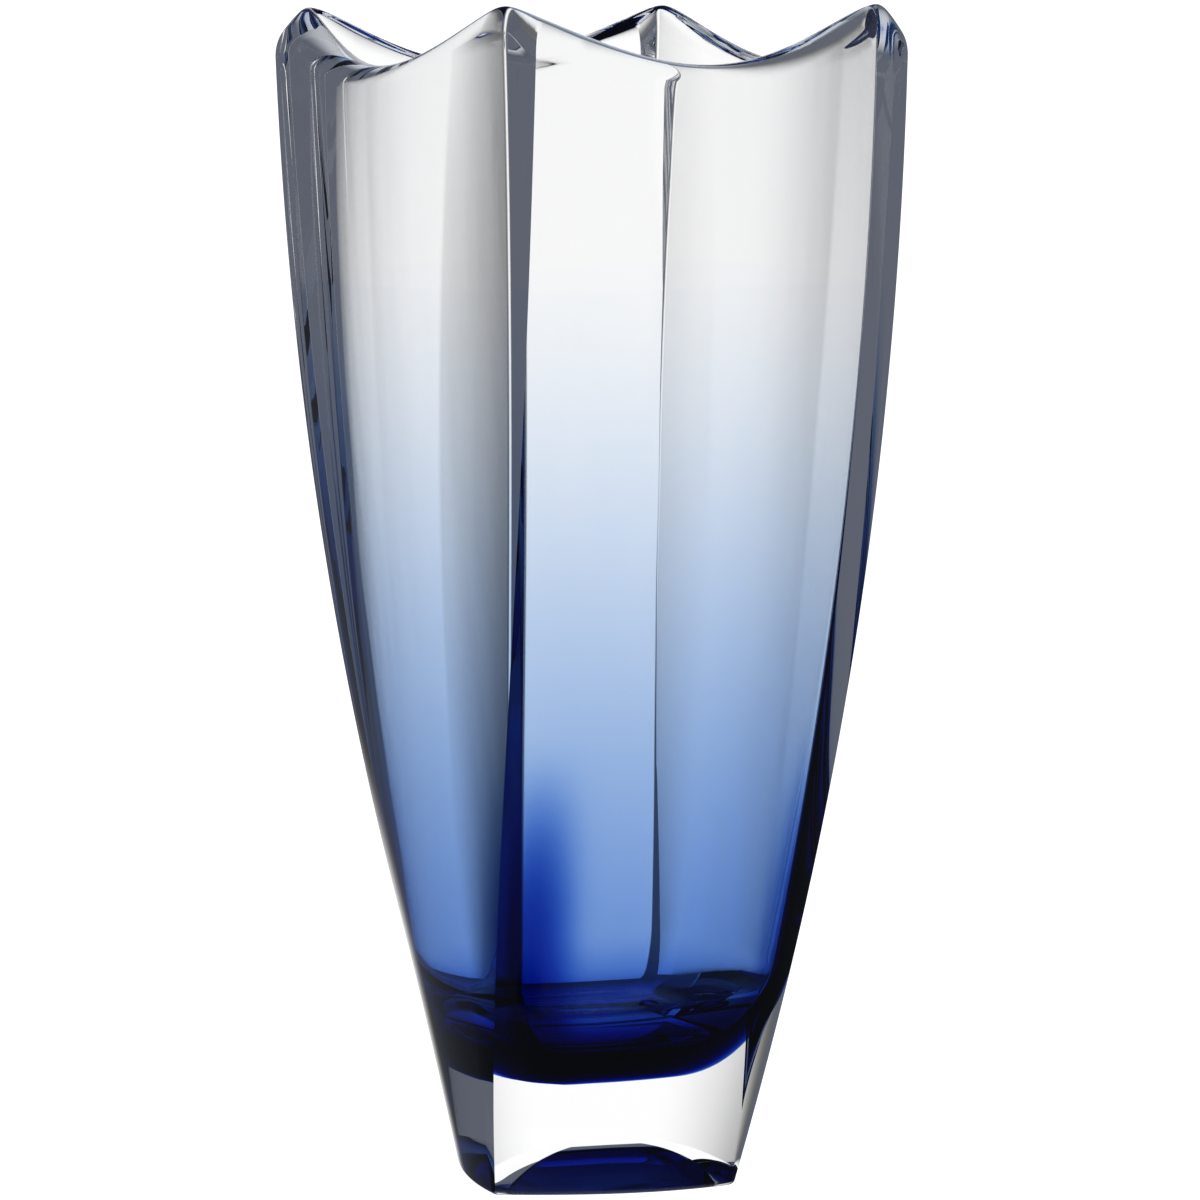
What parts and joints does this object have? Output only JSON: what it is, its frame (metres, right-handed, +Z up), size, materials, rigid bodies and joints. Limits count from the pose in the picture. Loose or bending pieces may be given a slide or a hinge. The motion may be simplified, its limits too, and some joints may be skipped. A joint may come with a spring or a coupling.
{
  "type": "cut crystal vase",
  "caption": "Tall flared square vase in thick clear crystal, scalloped rim, flat corner panels that lean round as they rise, and a blue gather fading up the inside.",
  "frame": {"origin": "centre of the foot, on the plane the vase stands on", "axes": "+Z up along the vase's axis, front faces -Y"},
  "size_m": [0.1634, 0.1634, 0.305],
  "materials": {
    "clear_crystal": "polished clear lead-type crystal",
    "sapphire_glass": "polished transparent sapphire blue, fading to clear with height"
  },
  "bodies": {
    "root": {"crystal_body": "clear_crystal", "sapphire_lining": "sapphire_glass"}
  },
  "joints": []
}
